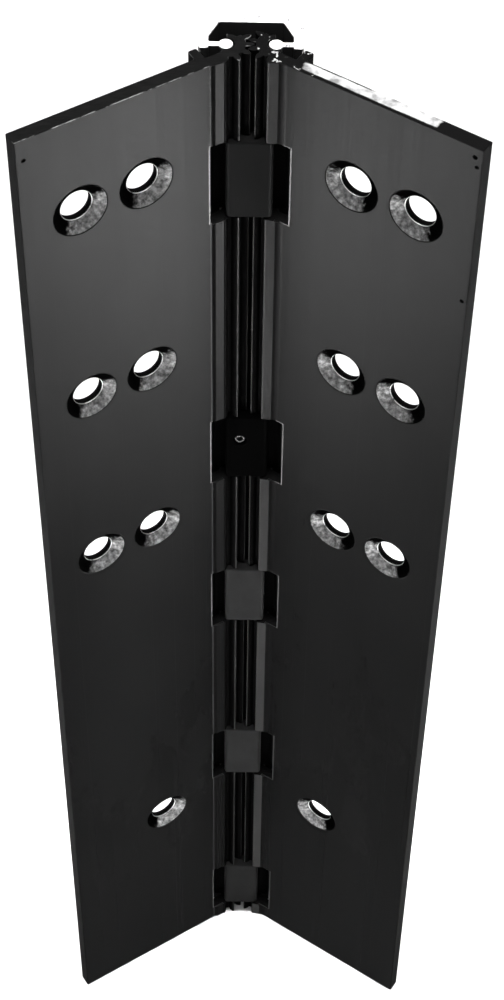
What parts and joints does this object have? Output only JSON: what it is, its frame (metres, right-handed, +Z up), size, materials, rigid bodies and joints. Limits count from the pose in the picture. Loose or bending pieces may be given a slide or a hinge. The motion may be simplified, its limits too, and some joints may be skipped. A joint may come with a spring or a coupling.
{
  "type": "geared continuous hinge",
  "caption": "Short length of geared continuous (piano) hinge: two meshing black leaves, a clip-on cap and slide-in bearings.",
  "frame": {"origin": "middle of the underside of the bounding box, with the hinge standing on its end", "axes": "+Z up along the hinge's length, +Y towards the cap at the back of the knuckle, +X from the frame leaf towards the door leaf"},
  "size_m": [0.0868, 0.038, 0.3048],
  "materials": {
    "leaf_anodised": "satin black anodised extrusion",
    "cap_anodised": "satin black anodised extrusion, bare saw-cut ends",
    "bearing_acetal": "moulded black acetal",
    "screw_steel": "black oxide"
  },
  "bodies": {
    "frame_leaf": {"frame_leaf": "leaf_anodised"},
    "cap": {"cap": "cap_anodised", "thrust_bearing_1": "bearing_acetal", "locking_bearing": "bearing_acetal", "thrust_bearing_3": "bearing_acetal", "thrust_bearing_4": "bearing_acetal", "thrust_bearing_5": "bearing_acetal", "cap_set_screw": "screw_steel"},
    "door_leaf": {"door_leaf": "leaf_anodised"}
  },
  "joints": [
    {"name": "cap_swing", "type": "hinge", "parent": "frame_leaf", "child": "cap", "pos_m": [-0.0047, 0.0097, 0.1524], "axis": [0, 0, 1], "range_deg": [-57, 33]},
    {"name": "door_leaf_swing", "type": "hinge", "parent": "cap", "child": "door_leaf", "pos_m": [0.0047, 0.0097, 0.1524], "axis": [0, 0, 1], "range_deg": [-57, 33]}
  ],
  "couplings": [
    {"joint": "door_leaf_swing", "follows": "cap_swing", "ratio": 1}
  ]
}
